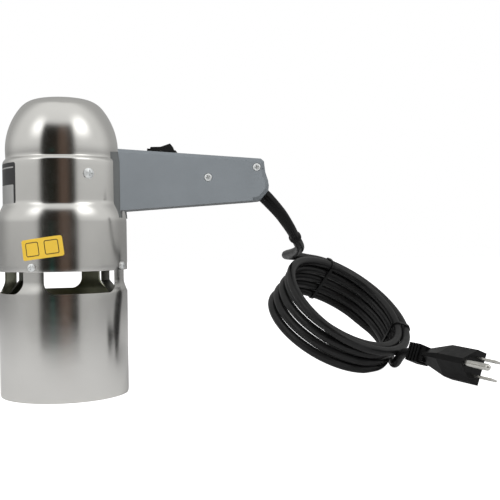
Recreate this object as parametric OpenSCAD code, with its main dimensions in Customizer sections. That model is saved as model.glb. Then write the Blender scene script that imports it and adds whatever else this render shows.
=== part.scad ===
// Hot-air embossing tool: a spun metal body that stands on its mouth, with a side handle and a coiled mains cord.
// Millimetres, +Z up. The origin is on the body's axis, in the plane of the mouth's rim.

/* [Skirt] */
// Outer radius of the wide barrel and of the skirt below it
barrel_r = 44.2; // [41:0.1:48]
// Wall of the skirt
skirt_t = 0.9; // [0.7:0.1:1.4]
// Height of the skirt up to the lower edge of its windows
window_z = 71.7; // [50:0.1:90]
// Height of the windows between the skirt and the barrel
window_h = 14.7; // [11:0.1:20]
// Radius of the lower corners of a window
window_corner = 7.5; // [3:0.1:9]
// Half the angle that a leg covers
leg_half_deg = 11.3; // [8:0.1:16]
// Angle of the first leg, counted from the front towards the handle
leg_deg = -15; // [-30:1:0]
// Number of legs
leg_count = 4; // [3:1:4]
// How far a leg reaches up inside the barrel
leg_lap = 10; // [8:0.5:16]

/* [Barrel] */
// Wall of the spun housing
sheet = 1.2; // [0.8:0.1:1.6]
// Height of the straight part of the wide barrel
barrel_h = 33.1; // [26:0.1:45]
// Height of the rounded shoulder
shoulder_h = 12.5; // [8:0.1:16]
// Radius of the narrow upper barrel
neck_r = 40.6; // [38:0.1:42]
// Height of the upper barrel, from the shoulder to the seam
neck_h = 31.7; // [28:0.1:40]
// Radius of the upper barrel's rolled top edge
lip_r = 3.2; // [2:0.1:4]
// Diameter of an air intake hole
intake_d = 4.6; // [3:0.1:5.5]

/* [Dome] */
// Largest radius of the domed cap
dome_r = 38.8; // [36:0.1:39.2]
// Height of the cap above the seam
dome_h = 45.4; // [42:0.1:52]
// Wall of the cap
dome_t = 1; // [0.7:0.1:1.4]
// Radius of the cap's side curve
dome_side_r = 46.8; // [43:0.1:50]
// Radius of the cap's flat crown
dome_crown_r = 95; // [70:1:130]
// Radius of the bead at the seam
bead_r = 2; // [1:0.1:3]

/* [Handle] */
// Length of the handle from the saddle to its rear end
handle_l = 102.4; // [90:0.1:130]
// Width of the handle
handle_w = 30; // [27:0.5:36]
// Height of the handle at the saddle
handle_root_h = 42.5; // [40:0.1:48]
// Height of the handle near its rear end
handle_rear_h = 28.5; // [27:0.1:34]
// How far the handle's top falls towards the rear
handle_drop = 7.9; // [4:0.1:12]
// How far the handle's top lies above the seam at the saddle
handle_rise = 6.2; // [4:0.1:9]
// Wall of the handle shells
handle_t = 2.4; // [1.8:0.1:3]
// Width of the bevel along the handle's edges
handle_bevel = 2.4; // [1:0.1:3]
// Distance from the barrel to the handle shells
saddle_l = 2.1; // [1.6:0.1:4]

/* [Switch] */
// Distance of the rocker's pivot from the handle's root
switch_x = 27.8; // [22:0.1:40]
// Swing radius of the rocker's ends
rocker_r = 8.5; // [7.5:0.1:10]
// Width of the rocker
rocker_w = 9.6; // [8:0.1:12]
// Tilt of the rocker to each side
rocker_tilt = 14; // [8:1:16]
// Angle of each half of the rocker's top
rocker_vee = 9; // [4:1:12]

/* [Air and heat] */
// Outer radius of the heat tube
tube_r = 31.6; // [28:0.1:33]
// Wall of the heat tube
tube_t = 0.8; // [0.6:0.1:1.2]
// Height of the heat tube
tube_h = 43; // [36:0.1:48]
// Number of turns of the heating wire
heater_turns = 9; // [5:1:11]
// Number of fan blades
blade_count = 9; // [5:1:13]
// Radius of the motor can
motor_r = 16.5; // [14:0.1:18]
// Length of the motor can
motor_h = 34; // [28:0.1:36]
// Radius of the motor shaft
shaft_r = 2; // [1.5:0.1:3]

/* [Cord] */
// Diameter of the mains cord
cord_d = 6; // [5:0.1:6.4]
// Radius of the coil's turns
coil_r = 50; // [48:0.1:56]
// Rise of the coil from one turn to the next
coil_pitch = 7; // [7:0.1:8]
// Number of turns in the coil
coil_turns = 5.22; // [5.22:0.01:5.26]

/* [Hidden] */
$fn = 96;

// Clearances
seat_gap = 0.1;
run_gap = 0.05;
eps = 0.01;

// Levels along the body's axis
barrel_z = window_z + window_h;
shoulder_z = barrel_z + barrel_h;
neck_z = shoulder_z + shoulder_h;
seam_z = neck_z + neck_h;
top_z = seam_z + dome_h;

// Skirt
barrel_in = barrel_r - sheet;
leg_r = barrel_in - seat_gap;
leg_top = barrel_z + leg_lap;
joggle_low = window_z - 0.7;
joggle_high = window_z + 8.3;
leg_step = 360 / leg_count;
window_half = leg_step / 2 - leg_half_deg;
skirt_screw_z = barrel_z + 3.1;

// Housing: the shoulder is an arc that is upright where the barrel ends and meets the upper barrel above
shoulder_step = barrel_r - neck_r + 0.05;
shoulder_r = (shoulder_step * shoulder_step + shoulder_h * shoulder_h) / (2 * shoulder_step);
neck_in = neck_r - sheet;
flange_in = neck_r - lip_r - 4;
housing_screw_z = seam_z - 12;
housing_screw_deg = 37;
intake_rows = 3;
intake_columns = 8;
intake_step_deg = 10.5;
intake_mid_deg = 163;
intake_z = neck_z + 9;
intake_row_step = intake_d + 2.4;

// Dome
dome_mid_z = seam_z + 6.3;

// Fan, motor and heater
deck_z = neck_z + 1;
deck_t = 1.2;
ring_in = tube_r - 8;
plate_t = 2;
plate_top = seam_z - 3.2;
plate_z = plate_top - plate_t;
plate_r = neck_in - seat_gap;
lug_t = 2;
lug_half_deg = 9;
lug_z = housing_screw_z - 5;
motor_hole_r = 12;
fan_r = plate_r - lug_t - 3.4;
fan_top = plate_z - 2.5;
fan_low = deck_z + deck_t + 2.8;
fan_disc_t = 1.5;
hub_r = 7;
blade_t = 1.4;
bearing_r = 5;
bearing_h = 4;
can_t = 1;
can_top = plate_top + motor_h;
magnet_t = 3;
air_gap = 0.6;
armature_r = motor_r - can_t - magnet_t - air_gap - run_gap;
armature_low = plate_top + 6;
armature_high = can_top - 8;
tube_z = deck_z - tube_h;
tube_in = tube_r - tube_t;
liner_t = 0.5;
mica_t = 0.8;
wire_r = 0.8;
wire_gap = 0.3;
mica_half = tube_in - liner_t - 3.7;
coil_wire_r = mica_half + wire_gap + wire_r;
mica_z = tube_z + 3;
heater_rise = (deck_z - mica_z - 9) / heater_turns;
strap_deg = 21;
strap_t = 1;
strap_in = tube_r + run_gap;
foot_r = barrel_r - skirt_t - run_gap;

// Handle: x runs from the root to the rear, tops and bottoms are straight lines
root_x = neck_r + saddle_l;
handle_top = seam_z + handle_rise;
handle_low = handle_top - handle_root_h;
rear_x = root_x + handle_l;
end_x = rear_x - 5.3;
top_slope = handle_drop / (end_x - root_x);
low_slope = (handle_root_h - handle_drop - handle_rear_h) / (end_x - root_x);
function top_at(x) = handle_top - top_slope * (x - root_x);
function low_at(x) = handle_low + low_slope * (x - root_x);
rear_top = top_at(end_x);
rear_low = low_at(end_x);
handle_line = [
    [root_x - 1.5, top_at(root_x - 1.5)],
    [end_x, rear_top],
    [end_x + 2.1, rear_top - 1.9],
    [end_x + 3, rear_top - 9.5],
    [rear_x - 0.5, rear_low + 13.4],
    [rear_x, rear_low + 9.8],
    [rear_x - 0.4, rear_low + 6.4],
    [rear_x - 5.8, rear_low + 0.3],
    [rear_x - 8, low_at(rear_x - 8)],
    [root_x, handle_low],
    [root_x, seam_z - 3]
];
half_w = handle_w / 2;
handle_screw_at = [[rear_x - 41.7, handle_top - 20.5], [rear_x - 8.2, rear_top - 6]];
handle_screw_d = 3;
handle_head_d = 4.8;
handle_sink = 1.9;
boss_r = 4.2;
tongue_l = 12;
tongue_h = 22;
tongue_w = 16;
saddle_screw_at = [plate_z - 4, handle_low + 13];
saddle_w = handle_w + 1;
wire_hole_r = 3.5;

// Switch, in a frame on the handle's top whose x runs down the slope
slope_deg = atan(top_slope);
pivot_x = root_x + switch_x;
pivot_rise = 0.5;
rocker_gap = 0.25;
rocker_top = rocker_r * 0.457;
rocker_low = 3.5;
bezel_l = 2 * rocker_r + 3;
bezel_w = rocker_w + 4;
bezel_h = 2.2;
switch_l = bezel_l - 1.6;
switch_w = bezel_w - 1.2;
switch_depth = 14;
pin_r = 1;
block_l = 18;
block_w = 12;
block_h = 9;

// Strain relief: its path starts at the handle's lower rear corner and swings behind the handle
relief_at = [rear_x - 3.1, 0, rear_low + 3.4];
relief_steps = [
    [-4, 0, 4], [0, 0, 0], [4, 0.6, -4.2], [8, 2.2, -8.6], [11.8, 5, -13], [15, 8.8, -17.4],
    [17.8, 13.4, -21.4], [20.2, 18.8, -25], [22, 24, -28], [22.7, 26, -29.1], [23.4, 28, -30.2]
];
relief_radii = [4.9, 4.9, 4.7, 4.5, 4.3, 4.1, 3.9, 3.7, 3.6, 4.6, 4.6];
relief_path = [for (s = relief_steps) relief_at + s];
relief_end = relief_path[len(relief_path) - 1];

// Coil: turns run downwards from the lead, and the first one lies outside and then on top of the others
coil_at = [202.5, 98, 43];
coil_lean = 38;
coil_face = -42;
coil_start_deg = 84;
coil_out = 7.4;
coil_in_from = 0.6;
coil_first_level = -0.3;
coil_growth = 2.5;
coil_fan = 1.6;
coil_fan_deg = 124;
tie_degs = [60, -40];
tie_w = 2.4;
tie_t = 1;
tie_room = 0.4;
coil_rings = 24;
coil_sides = 6;
cord_sides = 8;

// Cord on either side of the coil
lead_points = [
    [168.9, 40.5, 100.8], [169, 48.5, 98.8], [168.2, 57, 97.3], [166.8, 66, 96.2], [165.2, 75, 95.3],
    [163.5, 84, 94.6], [162, 93, 94], [161.3, 102.4, 93.4], [162.9, 108.7, 93], [166.1, 114.4, 92.5]
];
tail_points = [
    [241.5, 135.5, 20.4], [244.7, 130.2, 15.8], [246.9, 124.1, 11.4], [248.1, 117.4, 7.7], [248.6, 110.1, 5.1],
    [248.6, 102.4, 3.8], [248.2, 94.7, 3.7], [247.8, 86.9, 4.6], [247.5, 79.4, 6.4], [247.6, 72.1, 9.2],
    [248.2, 65.3, 12.9], [249.9, 58.7, 16.6]
];

// Plug: x runs out along the blades, y from the lower blade to the upper one, z towards the ground pin
plug_at = [290.6, 0, 13.9];
plug_turn = [69, 3, -56];
plug_len = 24;
plug_half = 12;
plug_back = -6.4;
plug_side = 3.1;
plug_peak = 16.5;
plug_peak_half = 2;
grip_from = 44;
grip_to = 58;
grip_y = 7;
grip_low = -3;
grip_high = 11;
cord_entry = 2;
grip_mid = 4;
blade_l = 17.5;
blade_w = 6.3;
blade_thick = 1.5;
blade_half_gap = 6.35;
ground_l = 21;
ground_r = 2.4;
ground_off = 11.86;

steel = [0.72, 0.72, 0.71];
bright = [0.82, 0.82, 0.8];
grey = [0.5, 0.53, 0.55];
black = [0.08, 0.08, 0.08];

// Vector helpers
function unit(v) = v / norm(v);
function ramp(x, a, b) = let (u = min(1, max(0, (x - a) / (b - a)))) u * u * (3 - 2 * u);

// Direction of a path at one of its points
function heading(p, i) =
    unit(i == 0 ? p[1] - p[0] : i == len(p) - 1 ? p[i] - p[i - 1] : unit(p[i + 1] - p[i]) + unit(p[i] - p[i - 1]));

// A closed tube along a path, with one radius for each point
module tube(path, radii, sides, ref = [0, 0, 1]) {
    n = len(path);
    points = [
        for (i = [0:n - 1])
            let (t = heading(path, i), u = unit(cross(ref, t)), v = cross(t, u))
                for (k = [0:sides - 1])
                    let (a = 360 * k / sides) path[i] + radii[i] * (cos(a) * u + sin(a) * v)
    ];
    sides_a = [
        for (i = [0:n - 2], k = [0:sides - 1])
            [i * sides + k, (i + 1) * sides + k, (i + 1) * sides + (k + 1) % sides]
    ];
    sides_b = [
        for (i = [0:n - 2], k = [0:sides - 1])
            [i * sides + k, (i + 1) * sides + (k + 1) % sides, i * sides + (k + 1) % sides]
    ];
    first = [for (k = [1:sides - 2]) [0, k, k + 1]];
    last = [for (k = [1:sides - 2]) [(n - 1) * sides, (n - 1) * sides + k + 1, (n - 1) * sides + k]];
    polyhedron(points = points, faces = concat(sides_a, sides_b, first, last));
}

// Puts its children, which point up +Z, on the body's side, pointing outwards; 0 degrees is the front
module radial(deg, r, z) {
    rotate([0, 0, deg - 90])
        translate([r, 0, z])
            rotate([0, 90, 0])
                children();
}

// A sector of a flat ring round the body's axis
module sector(deg, half, r_in, r_out, z0, z1) {
    rotate([0, 0, deg - 90 - half])
        rotate_extrude(angle = 2 * half)
            translate([r_in, z0])
                square([r_out - r_in, z1 - z0]);
}

// A pan-head screw with a cross recess; its head's underside is at z = 0
module pan_screw(head_d, head_h, shank_d, length) {
    dome = head_d * 0.8;
    slot_w = head_d * 0.15;
    slot_l = head_d * 0.58;
    difference() {
        union() {
            intersection() {
                cylinder(d = head_d, h = head_h);
                translate([0, 0, head_h - dome])
                    sphere(r = dome);
            }
            translate([0, 0, -length])
                cylinder(d = shank_d, h = length + head_h / 2);
        }
        for (a = [0, 90])
            rotate([0, 0, a])
                translate([-slot_l / 2, -slot_w / 2, head_h * 0.45])
                    cube([slot_l, slot_w, head_h]);
    }
}

// Skirt

// One window, cut straight through one side, with rounded lower corners
module window(deg) {
    half = barrel_r * sin(window_half);
    corner_w = window_corner * cos(window_half);
    bend = [
        for (a = [0:15:90])
            [-(window_z + window_corner * (1 - sin(a))), half - corner_w * (1 - cos(a))]
    ];
    outline = concat(
        [[-leg_top - 1, -half], [-leg_top - 1, half]],
        bend,
        [for (i = [len(bend) - 1:-1:0]) [bend[i][0], -bend[i][1]]]
    );
    radial(deg, barrel_r / 2, 0)
        linear_extrude(barrel_r)
            polygon(outline);
}

module skirt_section(inset) {
    polygon([
        [0, -inset], [barrel_r - inset, -inset], [barrel_r - inset, joggle_low],
        [leg_r - inset, joggle_high], [leg_r - inset, leg_top + inset], [0, leg_top + inset]
    ]);
}

module nozzle_skirt() {
    color(bright)
        difference() {
            rotate_extrude()
                skirt_section(0);
            rotate_extrude()
                skirt_section(skirt_t);
            for (i = [0:leg_count - 1])
                window(leg_deg + (i + 0.5) * leg_step);
            for (i = [0:leg_count - 1])
                radial(leg_deg + i * leg_step, leg_r - 4, skirt_screw_z)
                    cylinder(r = 1.5 + run_gap, h = 8);
        }
}

module skirt_screws() {
    color("silver")
        for (i = [0:leg_count - 1])
            radial(leg_deg + i * leg_step, barrel_r + eps, skirt_screw_z)
                pan_screw(5.2, 1.9, 3, 5);
}

// Housing

module housing_section(g) {
    foot = g < 0 ? 1 : 0;
    translate([0, barrel_z - foot])
        square([barrel_r + g, barrel_h + foot]);
    intersection() {
        translate([barrel_r - shoulder_r, shoulder_z])
            circle(r = shoulder_r + g);
        translate([0, shoulder_z])
            square([barrel_r + 1, shoulder_h]);
    }
    translate([0, shoulder_z])
        square([neck_r + g, seam_z - lip_r - shoulder_z]);
    translate([0, seam_z - lip_r])
        square([neck_r - lip_r, lip_r + g]);
    intersection() {
        translate([neck_r - lip_r, seam_z - lip_r])
            circle(r = lip_r + g);
        translate([neck_r - lip_r, seam_z - lip_r])
            square([lip_r + 1, lip_r + 1]);
    }
}

module main_housing() {
    color(steel)
        difference() {
            rotate_extrude()
                housing_section(0);
            rotate_extrude()
                housing_section(-sheet);
            translate([0, 0, seam_z - sheet - 1])
                cylinder(r = flange_in, h = sheet + 2);
            for (row = [0:intake_rows - 1], column = [0:intake_columns - 1])
                radial(
                    intake_mid_deg + (column - (intake_columns - 1) / 2 + (row % 2) / 2) * intake_step_deg,
                    neck_in - 3, intake_z + row * intake_row_step
                )
                    cylinder(d = intake_d, h = sheet + 6);
            for (i = [0:leg_count - 1])
                radial(leg_deg + i * leg_step, barrel_in - 3, skirt_screw_z)
                    cylinder(r = 1.5 + run_gap, h = sheet + 6);
            for (side = [0, 180])
                radial(housing_screw_deg + side, neck_in - 3, housing_screw_z)
                    cylinder(r = 2 + run_gap, h = sheet + 6);
            for (z = saddle_screw_at)
                radial(90, neck_in - 3, z)
                    cylinder(r = 2 + run_gap, h = sheet + 6);
            radial(90, neck_in - 3, (saddle_screw_at[0] + saddle_screw_at[1]) / 2)
                cylinder(r = wire_hole_r, h = sheet + 6);
        }
}

module housing_screws() {
    color("silver")
        for (side = [0, 180])
            radial(housing_screw_deg + side, neck_r + eps, housing_screw_z)
                pan_screw(7, 2.4, 4, sheet + lug_t + 1.5);
}

// Dome

module dome_section(t) {
    intersection() {
        translate([dome_r - dome_side_r, dome_mid_z])
            circle(r = dome_side_r - t);
        translate([0, top_z - dome_crown_r])
            circle(r = dome_crown_r - t);
        translate([0, seam_z + bead_r])
            square([dome_r + 1, dome_h]);
    }
    translate([0, seam_z + t])
        square([dome_r - bead_r, bead_r - t + eps]);
    intersection() {
        translate([dome_r - bead_r, seam_z + bead_r])
            circle(r = bead_r - t);
        translate([0, seam_z])
            square([dome_r + 1, bead_r + eps]);
    }
}

module dome_cap() {
    color(bright)
        difference() {
            rotate_extrude()
                dome_section(0);
            rotate_extrude()
                dome_section(dome_t);
            translate([0, 0, seam_z - 1])
                cylinder(r = flange_in, h = dome_t + 2);
        }
}

// Heater

// Two bent straps carry the heat tube from the skirt; they stand behind two opposite legs
module heater_straps() {
    low = window_z - 20;
    bend_low = window_z - 5;
    bend_high = window_z + 7.8;
    color(steel)
        for (side = [0, 180])
            rotate([0, 0, leg_deg + leg_step + side - 90 - strap_deg / 2])
                rotate_extrude(angle = strap_deg)
                    polygon([
                        [foot_r - strap_t, low], [foot_r, low], [foot_r, bend_low],
                        [strap_in + strap_t, bend_high], [strap_in + strap_t, tube_z + 18],
                        [strap_in, tube_z + 18], [strap_in, bend_high - 0.4], [foot_r - strap_t, bend_low - 0.4]
                    ]);
}

module heat_tube() {
    color(steel)
        difference() {
            translate([0, 0, tube_z])
                cylinder(r = tube_r, h = tube_h);
            translate([0, 0, tube_z - 1])
                cylinder(r = tube_in, h = tube_h + 2);
        }
}

module mica_liner() {
    color("tan")
        difference() {
            translate([0, 0, tube_z + 1])
                cylinder(r = tube_in - run_gap, h = tube_h - 1 - seat_gap);
            translate([0, 0, tube_z])
                cylinder(r = tube_in - liner_t, h = tube_h);
        }
}

module heater_mica() {
    color("beige")
        for (a = [45, 135])
            rotate([0, 0, a])
                translate([-mica_half, -mica_t / 2, mica_z])
                    cube([2 * mica_half, mica_t, deck_z - mica_z]);
}

module heater_coil() {
    n = heater_turns * 16;
    path = [
        for (i = [0:n])
            let (a = 22.5 * i)
                [coil_wire_r * cos(a), coil_wire_r * sin(a), mica_z + 4 + heater_rise * i / 16]
    ];
    color("dimgray")
        tube(path, [for (p = path) wire_r], 5);
}

module thermal_cutout() {
    color("silver")
        rotate([0, 0, 45])
            translate([mica_half / 2, mica_t / 2 + eps, deck_z - 9])
                rotate([-90, 0, 0])
                    union() {
                        cylinder(r = 4.5, h = 3);
                        cylinder(r = 3, h = 5);
                    }
}

module shroud_ring() {
    color(steel)
        difference() {
            union() {
                translate([0, 0, deck_z])
                    cylinder(r = plate_r, h = deck_t);
                translate([0, 0, deck_z])
                    cylinder(r = tube_in - liner_t - 1, h = deck_t + 2);
            }
            translate([0, 0, deck_z - 1])
                cylinder(r = ring_in, h = deck_t + 6);
        }
}

// Fan and motor

module fan_impeller() {
    bend_r = fan_r * 0.76;
    bend_deg = 62;
    color("lightgray")
        difference() {
            union() {
                translate([0, 0, fan_top - fan_disc_t])
                    cylinder(r = fan_r, h = fan_disc_t);
                translate([0, 0, fan_low])
                    cylinder(r = hub_r, h = fan_top - fan_low);
                for (i = [0:blade_count - 1])
                    rotate([0, 0, i * 360 / blade_count])
                        translate([hub_r - 1, -bend_r, fan_low + 0.3])
                            rotate([0, 0, 90 - bend_deg])
                                rotate_extrude(angle = bend_deg)
                                    translate([bend_r - blade_t, 0])
                                        square([blade_t, fan_top - fan_disc_t - fan_low]);
            }
            translate([0, 0, fan_low - 1])
                cylinder(r = shaft_r, h = fan_top - fan_low + 2);
        }
}

module motor_shaft() {
    color("silver")
        translate([0, 0, fan_low + 1])
            cylinder(r = shaft_r, h = can_top + bearing_h - 1 - fan_low);
}

module bearing(z) {
    difference() {
        translate([0, 0, z])
            cylinder(r = bearing_r, h = bearing_h);
        translate([0, 0, z - 1])
            cylinder(r = shaft_r + run_gap, h = bearing_h + 2);
    }
}

module shaft_bearings() {
    color("goldenrod") {
        bearing(plate_z);
        bearing(can_top - can_t);
    }
}

module motor_bracket() {
    color(steel)
        difference() {
            union() {
                translate([0, 0, plate_z])
                    cylinder(r = plate_r, h = plate_t);
                for (side = [0, 180])
                    sector(housing_screw_deg + side, lug_half_deg, plate_r - lug_t, plate_r, lug_z, plate_top);
            }
            translate([0, 0, plate_z - 1])
                cylinder(r = bearing_r + run_gap, h = plate_t + 2);
            for (a = [housing_screw_deg + 60:60:housing_screw_deg + 360])
                sector(a + 30, 22, motor_r + 3, plate_r - 5, plate_z - 1, plate_top + 1);
            for (side = [0, 180])
                radial(housing_screw_deg + side, plate_r - lug_t - 1, housing_screw_z)
                    cylinder(r = 2 + run_gap, h = lug_t + 2);
            for (side = [-1, 1])
                translate([side * motor_hole_r, 0, plate_z - 1])
                    cylinder(r = 1.5 + run_gap, h = plate_t + 2);
        }
}

module motor_can() {
    color("dimgray")
        difference() {
            translate([0, 0, plate_top])
                cylinder(r = motor_r, h = motor_h);
            translate([0, 0, plate_top + 4])
                cylinder(r = motor_r - can_t, h = motor_h - 4 - can_t);
            translate([0, 0, plate_top - 1])
                cylinder(r = bearing_r + run_gap, h = motor_h + 2);
            for (side = [-1, 1])
                translate([side * motor_hole_r, 0, plate_top - 1])
                    cylinder(r = 1.5 + run_gap, h = 4.5);
        }
}

module motor_magnets() {
    outer = motor_r - can_t - run_gap;
    color("darkslategray")
        for (side = [0, 180])
            sector(side, 65, outer - magnet_t, outer, armature_low, armature_high);
}

module motor_armature() {
    color("peru")
        difference() {
            translate([0, 0, armature_low])
                cylinder(r = armature_r, h = armature_high - armature_low);
            translate([0, 0, armature_low - 1])
                cylinder(r = shaft_r + eps, h = armature_high - armature_low + 2);
            for (i = [0:6])
                rotate([0, 0, i * 360 / 7])
                    translate([armature_r - 3, -0.8, armature_low - 1])
                        cube([5, 1.6, armature_high - armature_low + 2]);
        }
}

module motor_screws() {
    color("silver")
        for (side = [-1, 1])
            translate([side * motor_hole_r, 0, plate_z - eps])
                rotate([180, 0, 0])
                    pan_screw(5, 1.5, 3, plate_t + 3);
}

// Handle

// A long prism that cuts the bevel along one edge of the handle, from p to q
module bevel_cut(p, q) {
    run = q - p;
    angle = atan2(run[1], run[0]);
    translate([p[0], -half_w, p[1]])
        rotate([0, -angle, 0])
            translate([-3, 0, 0])
                rotate([90, 0, 90])
                    linear_extrude(norm(run) + 6)
                        polygon([[-1, -handle_bevel - 1], [handle_bevel + 1, 1], [-1, 1]]);
}

// One half of the handle, on the side towards -Y
module handle_shell(threaded) {
    cavity = handle_t;
    x0 = root_x + cavity;
    x1 = end_x - cavity;
    difference() {
        union() {
            difference() {
                rotate([90, 0, 0])
                    linear_extrude(half_w)
                        polygon(handle_line);
                for (i = [0:len(handle_line) - 4])
                    bevel_cut(handle_line[i], handle_line[i + 1]);
                rotate([90, 0, 0])
                    translate([0, 0, -1])
                        linear_extrude(half_w - cavity + 1)
                            polygon([
                                [x0, top_at(x0) - cavity], [x1, top_at(x1) - cavity],
                                [x1, low_at(x1) + cavity], [x0, low_at(x0) + cavity]
                            ]);
            }
            for (p = handle_screw_at)
                translate([p[0], 0, p[1]])
                    rotate([90, 0, 0])
                        cylinder(r = boss_r, h = half_w - 1);
        }
        for (p = handle_screw_at)
            translate([p[0], 1, p[1]])
                rotate([90, 0, 0])
                    cylinder(d = handle_screw_d + 2 * run_gap, h = threaded ? half_w - 1.4 : half_w + 2);
        if (!threaded)
            for (p = handle_screw_at)
                translate([p[0], -half_w - 1, p[1]])
                    rotate([-90, 0, 0])
                        cylinder(d = handle_head_d + 1, h = handle_sink + 1);
        translate([root_x - 1, -tongue_w / 2 - seat_gap, saddle_mid_z() - tongue_h / 2 - seat_gap])
            cube([cavity + 2, tongue_w + 2 * seat_gap, tongue_h + 2 * seat_gap]);
        on_top()
            translate([-switch_l / 2 - seat_gap, -switch_w / 2 - seat_gap, -handle_t * 2])
                cube([switch_l + 2 * seat_gap, switch_w + 2 * seat_gap, handle_t * 4]);
        translate(relief_at)
            rotate([0, 135, 0])
                translate([0, 0, -16])
                    cylinder(r = relief_radii[0] + seat_gap, h = 26);
    }
}

function saddle_mid_z() = (saddle_screw_at[0] + saddle_screw_at[1]) / 2;

module handle_shell_front() {
    color(grey)
        handle_shell(false);
}

module handle_shell_back() {
    color(grey)
        mirror([0, 1, 0])
            handle_shell(true);
}

module handle_screws() {
    color("silver")
        for (p = handle_screw_at)
            translate([p[0], -half_w + handle_sink, p[1]])
                rotate([90, 0, 0])
                    pan_screw(handle_head_d, 1.8, handle_screw_d, handle_w - handle_sink - 4);
}

// The saddle wraps the barrel and the shoulder and carries the shells on a tongue
module handle_saddle() {
    color([0.44, 0.46, 0.47])
        difference() {
            union() {
                rotate([90, 0, 0])
                    translate([0, 0, -saddle_w / 2])
                        linear_extrude(saddle_w)
                            polygon([
                                [30, handle_top - 2], [root_x - 1.6, handle_top - 2], [root_x, seam_z - 3],
                                [root_x, handle_low + eps], [barrel_r + 0.8, handle_low - 3.2],
                                [barrel_r + 0.6, handle_low - 5], [barrel_r - 1.4, shoulder_z + 1.2],
                                [30, shoulder_z + 1.2]
                            ]);
                translate([root_x - 4, -tongue_w / 2, saddle_mid_z() - tongue_h / 2])
                    cube([tongue_l + 4, tongue_w, tongue_h]);
            }
            rotate_extrude()
                housing_section(run_gap);
            translate([0, 0, seam_z - lip_r - 1])
                cylinder(r = dome_r + run_gap, h = dome_h);
            for (z = saddle_screw_at)
                radial(90, neck_r - 4, z)
                    cylinder(r = 2 + run_gap, h = 14);
            radial(90, neck_r - 4, saddle_mid_z())
                cylinder(r = wire_hole_r, h = tongue_l + 12);
        }
}

module saddle_screws() {
    color("silver")
        for (z = saddle_screw_at)
            radial(90, neck_in - 0.25, z)
                rotate([180, 0, 0])
                    pan_screw(7, 2.2, 4, 9);
}

// Switch

// Puts its children on the handle's top, at the switch
module on_top() {
    translate([pivot_x, 0, top_at(pivot_x)])
        rotate([0, slope_deg, 0])
            children();
}

module switch_body() {
    color(black)
        on_top()
            difference() {
                union() {
                    translate([-bezel_l / 2, -bezel_w / 2, eps])
                        cube([bezel_l, bezel_w, bezel_h]);
                    translate([-switch_l / 2, -switch_w / 2, -switch_depth])
                        cube([switch_l, switch_w, switch_depth + 1]);
                }
                translate([0, 0, pivot_rise])
                    rotate([90, 0, 0]) {
                        translate([0, 0, -rocker_w / 2 - rocker_gap])
                            cylinder(r = rocker_r + rocker_gap, h = rocker_w + 2 * rocker_gap);
                        translate([0, 0, -bezel_w])
                            cylinder(r = pin_r + run_gap / 2, h = 2 * bezel_w);
                    }
            }
}

module switch_rocker() {
    edge = rocker_r + 1;
    color(black)
        on_top()
            translate([0, 0, pivot_rise])
                rotate([0, -rocker_tilt, 0])
                    rotate([90, 0, 0])
                        translate([0, 0, -rocker_w / 2])
                            difference() {
                                linear_extrude(rocker_w)
                                    intersection() {
                                        circle(r = rocker_r);
                                        polygon([
                                            [-edge, -rocker_low], [edge, -rocker_low],
                                            [edge, rocker_top + edge * tan(rocker_vee)], [0, rocker_top],
                                            [-edge, rocker_top + edge * tan(rocker_vee)]
                                        ]);
                                    }
                                translate([0, 0, -1])
                                    cylinder(r = pin_r + run_gap, h = rocker_w + 2);
                            }
}

module rocker_pin() {
    color("silver")
        on_top()
            translate([0, 0, pivot_rise])
                rotate([90, 0, 0])
                    translate([0, 0, -switch_w / 2])
                        cylinder(r = pin_r, h = switch_w);
}

module terminal_block() {
    x = handle_screw_at[0][0] - boss_r - block_l - 3;
    color("ivory")
        difference() {
            translate([x, -block_w / 2, low_at(x + block_l) + handle_t + seat_gap])
                cube([block_l, block_w, block_h]);
            for (i = [0:2])
                translate([x + block_l * (i + 0.5) / 3, 0, low_at(x) + handle_t + 3])
                    cylinder(r = 1.6, h = block_h + 2);
        }
}

// Cord

module strain_relief() {
    color(black)
        tube(relief_path, relief_radii, 12, [0, 1, 0]);
}

// The coil in its own frame, with its axis along z; t counts the turns from the lead's end
function coil_level(t) =
    let (w = ramp(t, coil_in_from, 1))
        coil_pitch * ((1 - w) * coil_first_level + w * (1 - t) + coil_turns / 2 - 0.5);
function coil_point(t) =
    let (
        a = coil_start_deg - 360 * t,
        w = ramp(t, coil_in_from, 1),
        r = coil_r + coil_out * (1 - w) + coil_growth * max(0, t - 1) / (coil_turns - 1),
        z = coil_level(t) * (1 + coil_fan / coil_pitch * (1 + cos(a - coil_fan_deg)) / 2)
    ) [-r * sin(a), r * cos(a), z];
coil_n = round(coil_turns * coil_rings);
coil_inner = [for (i = [0:coil_n]) coil_point(i * coil_turns / coil_n)];
coil_stub_a = coil_inner[0] + cord_d * unit(coil_inner[0] - coil_inner[1]);
coil_stub_b = coil_inner[coil_n] + cord_d * unit(coil_inner[coil_n] - coil_inner[coil_n - 1]);
coil_path = concat([coil_stub_a], coil_inner, [coil_stub_b]);

// The least gap between one turn and another, measured on the ring centres
coil_gap = min([
    for (i = [0:coil_n - 13], j = [i + 13:coil_n]) norm(coil_inner[i] - coil_inner[j])
]) - cord_d;
echo(coil_gap = coil_gap);

// From the coil's frame to the part's frame
function coil_turned(p) =
    let (
        x = p[0] * cos(coil_lean) + p[2] * sin(coil_lean),
        z = -p[0] * sin(coil_lean) + p[2] * cos(coil_lean)
    ) [x * cos(coil_face) - p[1] * sin(coil_face), x * sin(coil_face) + p[1] * cos(coil_face), z];
function coil_world(p) = coil_at + coil_turned(p);

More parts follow.
